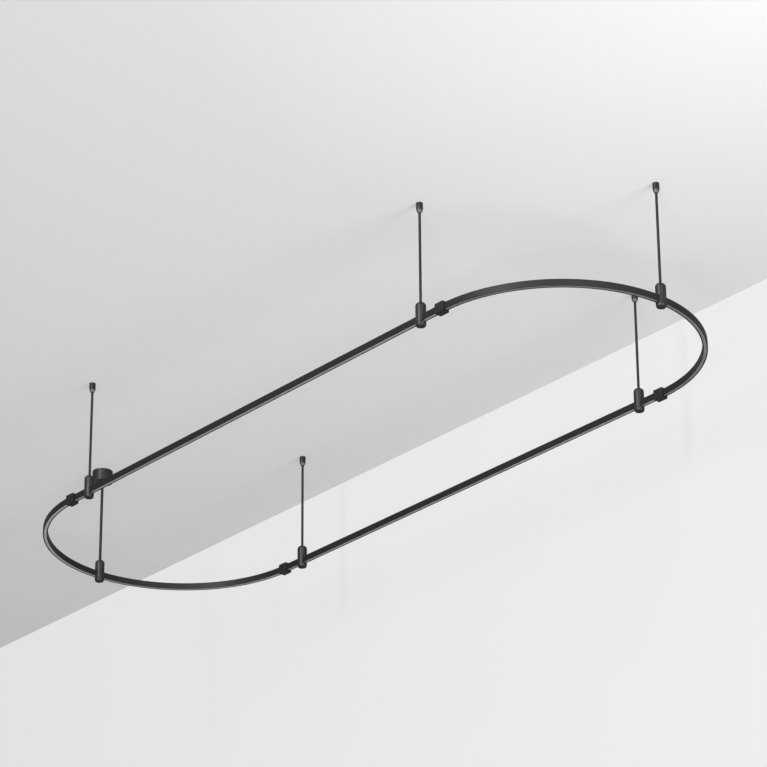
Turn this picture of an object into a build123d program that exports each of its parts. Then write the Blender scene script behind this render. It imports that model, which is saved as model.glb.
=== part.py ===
from build123d import *
import os

# Suspended lighting track: a racetrack loop of extruded rail with two conductors in its underside, hung
# from the ceiling on five rods and one feed tube. Millimetres. The ceiling is the plane z = 0, Z points up,
# X runs along the straight rails, and the feed is at the -X end of the loop.

# Loop
STRAIGHT_LENGTH = 2000.0
BEND_RADIUS = 500.0  # centre line of the half-circle rails
RAIL_END_GAP = 3.4  # between two rail ends, filled by a connector's stop
SUSPENSION_DROP = 430.0  # ceiling to the middle of the rail's height
HANGER_INSET = 100.0  # end of a straight rail to its hanger

# Rail extrusion
RAIL_WIDTH = 18.0
RAIL_HEIGHT = 23.0
RAIL_CORNER = 0.8
RAIL_WALL = 1.8
LIP_THICKNESS = 1.8
MOUTH_WIDTH = 10.0
POCKET_HEIGHT = 7.0

# Insulator and conductors in the rail's pocket
INSULATOR_CLEARANCE = 0.15
CONDUCTOR_RECESS = 1.0  # rail's underside to the face of the conductors
CONDUCTOR_WIDTH = 4.0
CONDUCTOR_THICKNESS = 0.8
CONDUCTOR_PITCH = 5.0
CONDUCTOR_CLEARANCE = 0.1

# Connector sleeves over the rail ends
CONNECTOR_LENGTH = 40.0
CONNECTOR_WIDTH = 29.0
CONNECTOR_HEIGHT = 35.0
CONNECTOR_BEVEL = 1.5
CONNECTOR_EDGE = 0.6
SLEEVE_CLEARANCE = 0.2
SLEEVE_FLOOR_CLEARANCE = 0.4
CARRIER_LENGTH = 34.0
CARRIER_WIDTH = 9.2
CARRIER_DEPTH = 2.4
CARRIER_CLEARANCE = 0.1
JUMPER_LENGTH = 30.0
JUMPER_WIDTH = 3.0
JUMPER_SEAT = 1.2  # depth of a jumper in its carrier
GRUB_RADIUS = 1.5
GRUB_CLEARANCE = 0.05
GRUB_SINK = 0.5
GRUB_SOCKET = 1.5
GRUB_SOCKET_DEPTH = 1.8

# Hanger clamps: a slotted body over the rail, a pad below the rail, and a cup nut that closes the slot
CLAMP_RADIUS = 18.0
CLAMP_RISE = 59.0  # middle of the rail to the clamp's top
CLAMP_DOME = 12.0
SLOT_CLEARANCE = 0.15
SEAM_DROP = 2.0  # rail's underside to the seam between body and nut
SEAM_GAP = 0.3
SEAM_BEVEL = 0.4
SKIRT_RADIUS = 15.4
SKIRT_LENGTH = 8.0
THREAD_CLEARANCE = 0.15
NUT_HEIGHT = 12.5
NUT_FLOOR = 4.0
NUT_COLLAR = 2.0  # straight band under the seam
NUT_TAPER = 2.4  # how far the wall curves in below the collar
NUT_EDGE = 0.8
NUT_RECESS_RADIUS = 10.5
NUT_RECESS_DEPTH = 2.2
NUT_BOSS_RADIUS = 7.5
NUT_BOSS_HEIGHT = 1.6
NUT_SOCKET = 5.0
NUT_SOCKET_DEPTH = 2.4
PAD_CLEARANCE = 0.2

# Suspension rods and their ceiling anchors
ROD_DIAMETER = 9.0
ROD_SEAT = 18.0  # depth of a rod in its clamp
ROD_BEVEL = 0.6
ROD_CLEARANCE = 0.05
ANCHOR_HEIGHT = 20.0
ANCHOR_BASE = 3.0
ANCHOR_SCREW_HOLE = 4.5
SCREW_HEAD_ROOM = 3.0
O_RING_WIRE = 1.8
O_RING_DEPTH = 14.0  # ceiling to the middle of the ring
O_RING_CLEARANCE = 0.05

# Ceiling caps that slide on the rods
CAP_DIAMETER = 23.0
CAP_HEIGHT = 38.0
CAP_WALL = 1.5
CAP_REVEAL = 0.5  # shadow gap at the ceiling
CAP_CLEARANCE = 0.3

# Feed tube and the canopy that slides on it
FEED_TUBE_DIAMETER = 10.5
FEED_TUBE_WALL = 1.0
CANOPY_DIAMETER = 78.0
CANOPY_HEIGHT = 45.0
CANOPY_WALL = 1.5
CANOPY_FLOOR = 2.0
CANOPY_EDGE = 0.8
CANOPY_CLEARANCE = 0.5
CANOPY_SCREW_RADIUS = 1.5
CANOPY_SCREW_DEPTH = 6.0  # ceiling to the screws' axis
CANOPY_SCREW_TIP = 0.2  # from the plate's rim

# Ceiling plate inside the canopy
PLATE_THICKNESS = 2.5
PLATE_RIM = 9.0
PLATE_RIM_WALL = 1.5
PLATE_HOLE = 5.0
PLATE_HOLE_SPACING = 52.0
SUPPLY_HOLE = 12.0
SUPPLY_OFFSET = 20.0
BRACKET_SPAN = 30.0
BRACKET_WIDTH = 16.0
BRACKET_DROP = 26.0  # ceiling to the bracket's bridge
BRACKET_THICKNESS = 2.0
LOCKNUT_FLATS = 14.0
LOCKNUT_HEIGHT = 3.0
LOCKNUT_THREAD = 2.0  # tube above the upper lock nut
TERMINAL_LENGTH = 22.0
TERMINAL_DEPTH = 12.0
TERMINAL_HEIGHT = 11.0
TERMINAL_OFFSET = 16.0  # tube's axis to the block's face
TERMINAL_WELL = 4.0
TERMINAL_WELL_DEPTH = 5.0
WIRE_DIAMETER = 2.2
WIRE_BEND = 6.0
WIRE_CLEARANCE = 0.2

# Places worked out from the sizes above
RAIL_Z = -SUSPENSION_DROP
RAIL_TOP = RAIL_HEIGHT / 2
RAIL_BOTTOM = -RAIL_HEIGHT / 2
LIP_TOP = RAIL_BOTTOM + LIP_THICKNESS
POCKET_TOP = LIP_TOP + POCKET_HEIGHT
CHAMBER_BOTTOM = POCKET_TOP + RAIL_WALL
CHAMBER_TOP = RAIL_TOP - RAIL_WALL
CONDUCTOR_FACE = RAIL_BOTTOM + CONDUCTOR_RECESS
CONDUCTOR_BACK = CONDUCTOR_FACE + CONDUCTOR_THICKNESS
BEND_X = STRAIGHT_LENGTH / 2 + RAIL_END_GAP
JOINT_X = STRAIGHT_LENGTH / 2 + RAIL_END_GAP / 2
HANGER_X = STRAIGHT_LENGTH / 2 - HANGER_INSET
APEX_X = BEND_X + BEND_RADIUS
FLOOR_Z = RAIL_BOTTOM - SLEEVE_FLOOR_CLEARANCE
SEAM_Z = RAIL_BOTTOM - SEAM_DROP
NUT_TOP = SEAM_Z - SEAM_GAP
NUT_BOTTOM = NUT_TOP - NUT_HEIGHT
NUT_FLOOR_TOP = NUT_BOTTOM + NUT_FLOOR
CAP_BORE = CAP_DIAMETER / 2 - CAP_WALL
CANOPY_BORE = CANOPY_DIAMETER / 2 - CANOPY_WALL
PLATE_RADIUS = CANOPY_BORE - CANOPY_CLEARANCE
CLAMP_TOP = RAIL_Z + CLAMP_RISE
FEED_TUBE_TOP = -BRACKET_DROP + LOCKNUT_HEIGHT + LOCKNUT_THREAD
FEED_TUBE_BORE = FEED_TUBE_DIAMETER / 2 - FEED_TUBE_WALL

# Hangers as (x, y, turn of the rail below them); the feed hanger carries the tube instead of a rod
ROD_HANGERS = {
    "front_left": (-HANGER_X, -BEND_RADIUS, 0),
    "front_right": (HANGER_X, -BEND_RADIUS, 0),
    "right": (APEX_X, 0, 90),
    "back_right": (HANGER_X, BEND_RADIUS, 0),
    "back_left": (-HANGER_X, BEND_RADIUS, 0),
}
FEED_HANGER = (-APEX_X, 0, 90)
CONNECTORS = {
    "front_left": (-JOINT_X, -BEND_RADIUS),
    "front_right": (JOINT_X, -BEND_RADIUS),
    "back_right": (JOINT_X, BEND_RADIUS),
    "back_left": (-JOINT_X, BEND_RADIUS),
}


def bow(reach):
    """How far the bent rail strays sideways from a straight line within this reach of a tangent point."""
    return reach**2 / (2 * (BEND_RADIUS - RAIL_WIDTH / 2))


def post(radius, low, high):
    """Upright cylinder on the Z axis between two heights."""
    return Pos(0, 0, low) * Cylinder(radius, high - low, align=(Align.CENTER, Align.CENTER, Align.MIN))


def block(length, width, low, high):
    """Box centred on the Z axis between two heights."""
    return Pos(0, 0, low) * Box(length, width, high - low, align=(Align.CENTER, Align.CENTER, Align.MIN))


def hex_post(flats, low, high):
    """Upright hexagonal prism on the Z axis between two heights."""
    section = RegularPolygon(flats / 2, 6, major_radius=False)
    return extrude(Pos(0, 0, low) * section, amount=high - low)


def band(width, low, high):
    """Rectangle of a rail cross-section, centred across the rail between two heights."""
    return Pos(0, (low + high) / 2) * Rectangle(width, high - low)


def on_rail(shape, hanger):
    """Puts a shape made about the rail's centre line at a hanger."""
    x, y, turn = hanger
    return Pos(x, y, RAIL_Z) * Rot(0, 0, turn) * shape


def at_ceiling(shape, hanger):
    """Puts a shape made about the ceiling point of a hanger in its place."""
    x, y, _ = hanger
    return Pos(x, y, 0) * shape


# Rails
def rail_section():
    """Extrusion with a closed chamber above and a lipped pocket, open downwards, below."""
    inner_width = RAIL_WIDTH - 2 * RAIL_WALL
    section = RectangleRounded(RAIL_WIDTH, RAIL_HEIGHT, RAIL_CORNER)
    section -= band(inner_width, CHAMBER_BOTTOM, CHAMBER_TOP)
    section -= band(inner_width, LIP_TOP, POCKET_TOP)
    return section - band(MOUTH_WIDTH, RAIL_BOTTOM, LIP_TOP)


def insulator_section():
    """T-shaped carrier that rests on the lips, with two grooves for the conductors in its tongue."""
    body_width = RAIL_WIDTH - 2 * RAIL_WALL - 2 * INSULATOR_CLEARANCE
    tongue_width = MOUTH_WIDTH - 2 * INSULATOR_CLEARANCE
    section = band(body_width, LIP_TOP, POCKET_TOP - INSULATOR_CLEARANCE)
    section += band(tongue_width, CONDUCTOR_FACE, LIP_TOP)
    groove = band(CONDUCTOR_WIDTH + 2 * CONDUCTOR_CLEARANCE, CONDUCTOR_FACE, CONDUCTOR_BACK)
    for side in (-1, 1):
        section -= Pos(side * CONDUCTOR_PITCH / 2, 0) * groove
    return section


def conductor_section():
    """Two flat conductors side by side, flush with the insulator's tongue."""
    strip = band(CONDUCTOR_WIDTH, CONDUCTOR_FACE, CONDUCTOR_BACK)
    return [Pos(side * CONDUCTOR_PITCH / 2, 0) * strip for side in (-1, 1)]


def straight_run(section, end):
    """Extrudes a cross-section along the straight side at y = end * BEND_RADIUS."""
    start = Plane((-STRAIGHT_LENGTH / 2, end * BEND_RADIUS, RAIL_Z), x_dir=(0, 1, 0), z_dir=(1, 0, 0))
    return extrude(start * section, amount=STRAIGHT_LENGTH)


def bent_run(section, end):
    """Turns a cross-section through the half circle at the loop's end in the direction of end * X."""
    centre = (end * BEND_X, 0, 0)
    start = Plane((end * BEND_X, -end * BEND_RADIUS, RAIL_Z), x_dir=(0, end, 0), z_dir=(end, 0, 0))
    return revolve(start * section, axis=Axis(centre, (0, 0, 1)), revolution_arc=180)


RUNS = {
    "front": (straight_run, -1),
    "back": (straight_run, 1),
    "right": (bent_run, 1),
    "left": (bent_run, -1),
}


def rail(side):
    run, end = RUNS[side]
    solid = run(rail_section(), end)
    if side == "left":
        solid -= on_rail(post(FEED_TUBE_BORE, POCKET_TOP, RAIL_TOP), FEED_HANGER)
    return solid


def insulator(side):
    run, end = RUNS[side]
    solid = run(insulator_section(), end)
    if side == "left":
        hole = post(WIRE_DIAMETER / 2 + WIRE_CLEARANCE, CONDUCTOR_BACK, POCKET_TOP)
        for across in (-1, 1):
            solid -= on_rail(Pos(0, across * CONDUCTOR_PITCH / 2, 0) * hole, FEED_HANGER)
    return solid


def conductors(side):
    run, end = RUNS[side]
    return Compound(children=[run(strip, end).solid() for strip in conductor_section()])


# Connectors
def connector_sleeve():
    """Sleeve over two rail ends, with a stop between them and a pocket for the jumper carrier."""
    half = CONNECTOR_HEIGHT / 2
    bore_length = CONNECTOR_LENGTH / 2 - RAIL_END_GAP / 2
    bore_width = RAIL_WIDTH + 2 * (SLEEVE_CLEARANCE + bow(bore_length))
    sleeve = block(CONNECTOR_LENGTH, CONNECTOR_WIDTH, -half, half)
    sleeve = chamfer(sleeve.edges().filter_by(Axis.Z), CONNECTOR_BEVEL)
    rims = sleeve.faces().sort_by(Axis.Z)
    sleeve = chamfer(rims[0].edges() + rims[-1].edges(), CONNECTOR_EDGE)
    for end in (-1, 1):
        bore_x = end * (RAIL_END_GAP + bore_length) / 2
        sleeve -= Pos(bore_x, 0, 0) * block(bore_length, bore_width, FLOOR_Z, RAIL_TOP)
    sleeve -= block(CARRIER_LENGTH, CARRIER_WIDTH, FLOOR_Z - CARRIER_DEPTH, FLOOR_Z)
    sleeve -= block(RAIL_END_GAP, CARRIER_WIDTH, FLOOR_Z, CONDUCTOR_BACK)
    grub_hole = post(GRUB_RADIUS + GRUB_CLEARANCE, -half, FLOOR_Z)
    return sleeve - [Pos(x, y, 0) * grub_hole for x, y in grub_places()]


def grub_places():
    """The four grub screws press up on the rail's lips, two on each rail end."""
    x = (CONNECTOR_LENGTH + RAIL_END_GAP) / 4
    y = (MOUTH_WIDTH + RAIL_WIDTH) / 4
    return [(x * along, y * across) for along in (-1, 1) for across in (-1, 1)]


def connector_grub_screws():
    low = -CONNECTOR_HEIGHT / 2 + GRUB_SINK
    screw = post(GRUB_RADIUS, low, RAIL_BOTTOM) - hex_post(GRUB_SOCKET, low, low + GRUB_SOCKET_DEPTH)
    return [Pos(x, y, 0) * screw for x, y in grub_places()]


def jumper_carrier():
    carrier = block(
        CARRIER_LENGTH - 2 * CARRIER_CLEARANCE,
        CARRIER_WIDTH - 2 * CARRIER_CLEARANCE,
        FLOOR_Z - CARRIER_DEPTH,
        FLOOR_Z,
    )
    return carrier - jumpers()


def jumpers():
    """Two bars that bridge the conductors of the rails on either side of the stop."""
    bar = block(JUMPER_LENGTH, JUMPER_WIDTH, FLOOR_Z - JUMPER_SEAT, CONDUCTOR_FACE)
    return [Pos(0, across * CONDUCTOR_PITCH / 2, 0) * bar for across in (-1, 1)]


# Hanger clamps
def slot_width():
    return RAIL_WIDTH + 2 * (SLOT_CLEARANCE + bow(CLAMP_RADIUS))


def clamp_body(rod_radius, wire_bore=None):
    """Domed cylinder with the rail's slot across its lower half and a reduced skirt for the nut's thread."""
    skirt_end = SEAM_Z - SKIRT_LENGTH
    body = post(CLAMP_RADIUS, SEAM_Z, CLAMP_RISE)
    rims = body.edges().filter_by(GeomType.CIRCLE).sort_by(Axis.Z)
    body = fillet(rims[-1], CLAMP_DOME)
    body = chamfer(body.edges().filter_by(GeomType.CIRCLE).sort_by(Axis.Z)[0], SEAM_BEVEL)
    body += post(SKIRT_RADIUS, skirt_end, SEAM_Z)
    body -= block(2 * CLAMP_RADIUS, slot_width(), skirt_end, RAIL_TOP)
    body -= post(rod_radius + ROD_CLEARANCE, CLAMP_RISE - ROD_SEAT, CLAMP_RISE)
    if wire_bore:
        body -= post(wire_bore, RAIL_TOP, CLAMP_RISE - ROD_SEAT)
    return body


def clamp_pad():
    """Insulating block in the slot between the nut's floor and the rail's lips."""
    radius = SKIRT_RADIUS - PAD_CLEARANCE
    pad = post(radius, NUT_FLOOR_TOP, RAIL_BOTTOM)
    return pad & block(2 * radius, slot_width() - 2 * PAD_CLEARANCE, NUT_FLOOR_TOP, RAIL_BOTTOM)


def clamp_nut():
    """Cup nut with a wall that curves in below a collar, and a hexagon socket in a sunk boss."""
    collar = (CLAMP_RADIUS, NUT_TOP - NUT_COLLAR)
    rim = (CLAMP_RADIUS - NUT_TAPER, NUT_BOTTOM)
    wall_radius = ((NUT_HEIGHT - NUT_COLLAR) ** 2 + NUT_TAPER**2) / (2 * NUT_TAPER)
    outline = Polyline(rim, (0, NUT_BOTTOM), (0, NUT_TOP), (CLAMP_RADIUS, NUT_TOP), collar)
    outline += RadiusArc(collar, rim, wall_radius)
    nut = revolve(Plane.XZ * make_face(outline), Axis.Z)
    rims = nut.edges().filter_by(GeomType.CIRCLE).sort_by(Axis.Z)
    nut = fillet(rims[0], NUT_EDGE)
    nut = chamfer(nut.edges().filter_by(GeomType.CIRCLE).sort_by(Axis.Z)[-1], SEAM_BEVEL)
    nut -= post(SKIRT_RADIUS + THREAD_CLEARANCE, NUT_FLOOR_TOP, NUT_TOP)
    recess_floor = NUT_BOTTOM + NUT_RECESS_DEPTH
    boss_face = recess_floor - NUT_BOSS_HEIGHT
    nut -= post(NUT_RECESS_RADIUS, NUT_BOTTOM, recess_floor)
    nut += post(NUT_BOSS_RADIUS, boss_face, recess_floor)
    return nut - hex_post(NUT_SOCKET, boss_face, boss_face + NUT_SOCKET_DEPTH)


# Rods, anchors and ceiling caps
def suspension_rod():
    rod = post(ROD_DIAMETER / 2, CLAMP_TOP - ROD_SEAT, -ANCHOR_BASE - SCREW_HEAD_ROOM)
    return chamfer(rod.edges().filter_by(GeomType.CIRCLE), ROD_BEVEL)


def ceiling_anchor():
    """Turned socket for the rod's end, with a screw hole in its base and a groove for the cap's ring."""
    radius = CAP_BORE - CAP_CLEARANCE
    ring_inside = CAP_BORE - O_RING_CLEARANCE - O_RING_WIRE
    groove_low = -O_RING_DEPTH - O_RING_WIRE / 2
    groove_high = -O_RING_DEPTH + O_RING_WIRE / 2
    anchor = post(radius, -ANCHOR_HEIGHT, 0)
    anchor -= post(radius, groove_low, groove_high) - post(ring_inside, groove_low, groove_high)
    anchor -= post(ROD_DIAMETER / 2 + ROD_CLEARANCE, -ANCHOR_HEIGHT, -ANCHOR_BASE)
    return anchor - post(ANCHOR_SCREW_HOLE / 2, -ANCHOR_BASE, 0)


def cap_o_ring():
    wire = O_RING_WIRE / 2
    return Pos(0, 0, -O_RING_DEPTH) * Torus(CAP_BORE - O_RING_CLEARANCE - wire, wire)


def round_ended(radius, low, high):
    """Upright solid with a flat top and a hemispherical lower end."""
    shoulder = low + radius
    outline = Polyline((0, low), (0, high), (radius, high), (radius, shoulder))
    outline += RadiusArc((radius, shoulder), (0, low), radius)
    return revolve(Plane.XZ * make_face(outline), Axis.Z)


def ceiling_cap():
    """Bullet-shaped cover, open at the ceiling, with the rod through its rounded end."""
    top = -CAP_REVEAL
    cap = round_ended(CAP_DIAMETER / 2, top - CAP_HEIGHT, top)
    cap -= round_ended(CAP_BORE, top - CAP_HEIGHT + CAP_WALL, top)
    return cap - post(ROD_DIAMETER / 2 + CAP_CLEARANCE, top - CAP_HEIGHT, top)


# Feed tube, canopy and what the canopy covers
def feed_tube():
    bottom = CLAMP_TOP - ROD_SEAT
    tube = post(FEED_TUBE_DIAMETER / 2, bottom, FEED_TUBE_TOP)
    return tube - post(FEED_TUBE_BORE, bottom, FEED_TUBE_TOP)


def canopy():
    """Plain round cup, open at the ceiling, that slides down the feed tube."""
    top = -CAP_REVEAL
    bottom = top - CANOPY_HEIGHT
    cup = post(CANOPY_DIAMETER / 2, bottom, top)
    cup = fillet(cup.edges().filter_by(GeomType.CIRCLE).sort_by(Axis.Z)[0], CANOPY_EDGE)
    cup -= post(CANOPY_BORE, bottom + CANOPY_FLOOR, top)
    cup -= post(FEED_TUBE_DIAMETER / 2 + CAP_CLEARANCE, bottom, bottom + CANOPY_FLOOR)
    for side in (-1, 1):
        hole_radius = CANOPY_SCREW_RADIUS + GRUB_CLEARANCE
        cup -= canopy_screw_axis(side, PLATE_RADIUS, CANOPY_DIAMETER / 2, hole_radius)
    return cup


def canopy_screw_axis(side, inner, outer, radius):
    """Radial cylinder through the canopy's wall, along Y on the given side."""
    start = Plane((0, side * inner, -CANOPY_SCREW_DEPTH), z_dir=(0, side, 0))
    return extrude(start * Circle(radius), amount=outer - inner)


def canopy_screws():
    outer = CANOPY_DIAMETER / 2 - GRUB_SINK
    inner = PLATE_RADIUS + CANOPY_SCREW_TIP
    return [canopy_screw_axis(side, inner, outer, CANOPY_SCREW_RADIUS) for side in (-1, 1)]


def canopy_plate():
    """Flanged ceiling plate with a U-shaped bracket below it that carries the feed tube."""
    plate = post(PLATE_RADIUS, -PLATE_RIM, 0)
    plate -= post(PLATE_RADIUS - PLATE_RIM_WALL, -PLATE_RIM, -PLATE_THICKNESS)
    bridge_low = -BRACKET_DROP - BRACKET_THICKNESS
    bracket = block(BRACKET_SPAN, BRACKET_WIDTH, bridge_low, -PLATE_THICKNESS)
    bracket = fillet(bracket.edges().filter_by(Axis.Y).group_by(Axis.Z)[0], 2 * BRACKET_THICKNESS)
    window = block(BRACKET_SPAN - 2 * BRACKET_THICKNESS, BRACKET_WIDTH, -BRACKET_DROP, -PLATE_THICKNESS)
    window = fillet(window.edges().filter_by(Axis.Y).group_by(Axis.Z)[0], BRACKET_THICKNESS)
    plate += bracket - window
    plate -= post(FEED_TUBE_DIAMETER / 2 + ROD_CLEARANCE, bridge_low, -BRACKET_DROP)
    for side in (-1, 1):
        plate -= Pos(side * PLATE_HOLE_SPACING / 2, 0, 0) * post(PLATE_HOLE / 2, -PLATE_THICKNESS, 0)
    return plate - Pos(0, -SUPPLY_OFFSET, 0) * post(SUPPLY_HOLE / 2, -PLATE_THICKNESS, 0)


def feed_tube_locknuts():
    """Lock nuts on the feed tube, above and below the bracket's bridge."""
    bridge_low = -BRACKET_DROP - BRACKET_THICKNESS
    thread = FEED_TUBE_DIAMETER / 2 + ROD_CLEARANCE
    spans = [(-BRACKET_DROP, LOCKNUT_HEIGHT), (bridge_low - LOCKNUT_HEIGHT, LOCKNUT_HEIGHT)]
    nuts = [hex_post(LOCKNUT_FLATS, low, low + tall) for low, tall in spans]
    return [nut - post(thread, low, low + tall) for nut, (low, tall) in zip(nuts, spans)]


def terminal_block():
    """Two-pole block under the plate, with a screw well for each pole."""
    middle = TERMINAL_OFFSET + TERMINAL_DEPTH / 2
    low = -PLATE_THICKNESS - TERMINAL_HEIGHT
    terminal = Pos(0, middle, 0) * block(TERMINAL_LENGTH, TERMINAL_DEPTH, low, -PLATE_THICKNESS)
    well = post(TERMINAL_WELL / 2, low, low + TERMINAL_WELL_DEPTH)
    return terminal - [Pos(side * TERMINAL_LENGTH / 4, middle, 0) * well for side in (-1, 1)]


def feed_wires():
    """Two wires from the terminal block, down the feed tube, to the backs of the conductors."""
    entry = -PLATE_THICKNESS - TERMINAL_HEIGHT / 2
    bottom = RAIL_Z + CONDUCTOR_BACK
    route = FilletPolyline((0, 0, bottom), (0, 0, entry), (0, TERMINAL_OFFSET, entry), radius=WIRE_BEND)
    section = Plane((0, 0, bottom)) * Circle(WIRE_DIAMETER / 2)
    wire = sweep(section, path=route)
    return [Pos(side * CONDUCTOR_PITCH / 2, 0, 0) * wire for side in (-1, 1)]


def write_all():
    os.makedirs("parts", exist_ok=True)

    def write(node, shapes):
        solids = [solid for shape in shapes for solid in shape.solids()]
        export_step(solids[0] if len(solids) == 1 else Compound(children=solids), f"parts/{node}.step")

    for side in RUNS:
        write(f"rail_{side}", [rail(side)])
        write(f"insulator_{side}", [insulator(side)])
        write(f"conductors_{side}", [conductors(side)])

    sleeve = connector_sleeve()
    carriers, jumper_bars, grubs = [], [], []
    for place, (x, y) in CONNECTORS.items():
        spot = Pos(x, y, RAIL_Z)
        write(f"connector_sleeve_{place}", [spot * sleeve])
        carriers.append(spot * jumper_carrier())
        jumper_bars += [spot * bar for bar in jumpers()]
        grubs += [spot * screw for screw in connector_grub_screws()]
    write("jumper_carriers", carriers)
    write("jumper_bars", jumper_bars)
    write("connector_grub_screws", grubs)

    rod_clamp = clamp_body(ROD_DIAMETER / 2)
    feed_clamp = clamp_body(FEED_TUBE_DIAMETER / 2, FEED_TUBE_BORE)
    for place, hanger in {**ROD_HANGERS, "feed": FEED_HANGER}.items():
        write(f"clamp_body_{place}", [on_rail(feed_clamp if place == "feed" else rod_clamp, hanger)])
        write(f"clamp_pad_{place}", [on_rail(clamp_pad(), hanger)])
        write(f"clamp_nut_{place}", [on_rail(clamp_nut(), hanger)])
    for place, hanger in ROD_HANGERS.items():
        write(f"suspension_rod_{place}", [at_ceiling(suspension_rod(), hanger)])
        write(f"ceiling_cap_{place}", [at_ceiling(ceiling_cap(), hanger)])
    write("ceiling_anchors", [at_ceiling(ceiling_anchor(), hanger) for hanger in ROD_HANGERS.values()])
    write("cap_o_rings", [at_ceiling(cap_o_ring(), hanger) for hanger in ROD_HANGERS.values()])

    write("feed_tube", [at_ceiling(feed_tube(), FEED_HANGER)])
    write("canopy", [at_ceiling(canopy(), FEED_HANGER)])
    write("canopy_screws", [at_ceiling(screw, FEED_HANGER) for screw in canopy_screws()])
    write("canopy_plate", [at_ceiling(canopy_plate(), FEED_HANGER)])
    write("feed_tube_locknuts", [at_ceiling(nut, FEED_HANGER) for nut in feed_tube_locknuts()])
    write("terminal_block", [at_ceiling(terminal_block(), FEED_HANGER)])
    write("feed_wires", [at_ceiling(wire, FEED_HANGER) for wire in feed_wires()])


write_all()
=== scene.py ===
from math import atan2, cos, pi, radians, sin, sqrt

import bmesh
import bpy
from mathutils import Matrix, Vector


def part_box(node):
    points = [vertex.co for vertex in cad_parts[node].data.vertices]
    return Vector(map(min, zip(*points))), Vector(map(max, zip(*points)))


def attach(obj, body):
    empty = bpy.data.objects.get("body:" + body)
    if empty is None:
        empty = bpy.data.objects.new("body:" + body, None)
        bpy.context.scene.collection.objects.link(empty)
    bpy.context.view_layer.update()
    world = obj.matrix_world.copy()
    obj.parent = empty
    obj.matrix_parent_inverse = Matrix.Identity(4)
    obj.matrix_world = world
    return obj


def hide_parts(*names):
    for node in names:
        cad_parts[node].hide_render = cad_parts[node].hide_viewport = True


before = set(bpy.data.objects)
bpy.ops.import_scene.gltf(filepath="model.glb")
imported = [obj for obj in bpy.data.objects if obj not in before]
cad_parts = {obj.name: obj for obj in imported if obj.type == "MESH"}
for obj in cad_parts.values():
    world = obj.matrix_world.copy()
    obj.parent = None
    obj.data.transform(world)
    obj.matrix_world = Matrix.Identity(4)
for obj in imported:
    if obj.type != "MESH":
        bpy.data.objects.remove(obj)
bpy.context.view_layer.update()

MM = 0.001
ROD_HANGERS = ["front_left", "front_right", "right", "back_right", "back_left"]
HANGERS = ROD_HANGERS + ["feed"]
CONNECTORS = ["front_left", "front_right", "back_right", "back_left"]


# Sizes and places read from the CAD nodes
def middle(node):
    low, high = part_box(node)
    return (low + high) / 2


def size(node):
    low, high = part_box(node)
    return high - low


RAIL_Z = middle("rail_front").z
RAIL_LENGTH = size("rail_front").x
RAIL_WIDTH = size("rail_front").y
RAIL_HEIGHT = size("rail_front").z
RAIL_TOP = RAIL_HEIGHT / 2
RAIL_BOTTOM = -RAIL_HEIGHT / 2
BEND_RADIUS = middle("rail_back").y
BEND_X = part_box("rail_right")[0].x
CLAMP_RADIUS = size("clamp_nut_right").x / 2
CLAMP_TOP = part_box("clamp_body_right")[1].z - RAIL_Z
SKIRT_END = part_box("clamp_body_right")[0].z - RAIL_Z
NUT_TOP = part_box("clamp_nut_right")[1].z - RAIL_Z
NUT_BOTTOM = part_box("clamp_nut_right")[0].z - RAIL_Z
ROD_RADIUS = size("suspension_rod_right").x / 2
TUBE_RADIUS = size("feed_tube").x / 2
CAP_RADIUS = size("ceiling_cap_right").x / 2
CAP_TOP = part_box("ceiling_cap_right")[1].z
CAP_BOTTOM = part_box("ceiling_cap_right")[0].z
CANOPY_RADIUS = size("canopy").x / 2
CANOPY_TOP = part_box("canopy")[1].z
CANOPY_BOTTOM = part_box("canopy")[0].z

# Sizes that the CAD source gives inside the pieces
RAIL_CORNER = 0.8 * MM
RAIL_WALL = 1.8 * MM
LIP_TOP = RAIL_BOTTOM + 1.8 * MM
POCKET_TOP = LIP_TOP + 7.0 * MM
MOUTH_HALF = 5.0 * MM
SEAM_Z = NUT_TOP + 0.3 * MM
DOME_RADIUS = 12.0 * MM
SKIRT_RADIUS = 15.4 * MM
SLOT_HALF = RAIL_WIDTH / 2 + 0.48 * MM
NUT_COLLAR = 2.0 * MM
NUT_TAPER = 2.4 * MM
NUT_FLOOR = NUT_BOTTOM + 4.0 * MM
THREAD_PITCH = 1.5 * MM
ROD_SEAT = 18 * MM
SLIDING_GAP = 0.3 * MM
SHEET_WALL = 1.5 * MM
CANOPY_SCREW_Z = -6 * MM
LOCK_NUT_HEIGHT = 3 * MM

# Sizes of the finer shapes, which the scene adds
SEAM_EDGE = 0.4 * MM
CAP_TAPER = 16.5 * MM
GRUB_HOLE_RADIUS = 1.55 * MM
TERMINAL_WELL = 5 * MM

# A cap's nose gets a painted highlight, full below the first height and none above the second
NOSE_HIGHLIGHT_FULL_Z = -31 * MM
NOSE_HIGHLIGHT_END_Z = -26 * MM

# Edges sharper than the first angle are rounded, and those softer than the second are shaded smooth
SHARP = radians(40)
SMOOTH = radians(36)

# A face narrower than this width, along an edge that bends by more than this angle, counts as a worn edge
WORN_WIDTH = 0.6 * MM
WORN_BEND = radians(12)


# Modelling by hand in code
def begin():
    """Leaves edit mode with nothing selected."""
    if bpy.context.mode != "OBJECT":
        bpy.ops.object.mode_set(mode="OBJECT")
    bpy.ops.object.select_all(action="DESELECT")


def take(piece):
    """Makes a piece the only selected one."""
    begin()
    piece.select_set(True)
    bpy.context.view_layer.objects.active = piece


def settle(name):
    """Puts the active object's place into its mesh and names it."""
    piece = bpy.context.object
    bpy.ops.object.transform_apply(location=True, rotation=True, scale=True)
    piece.name = name
    piece.data.name = name
    return piece


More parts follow.
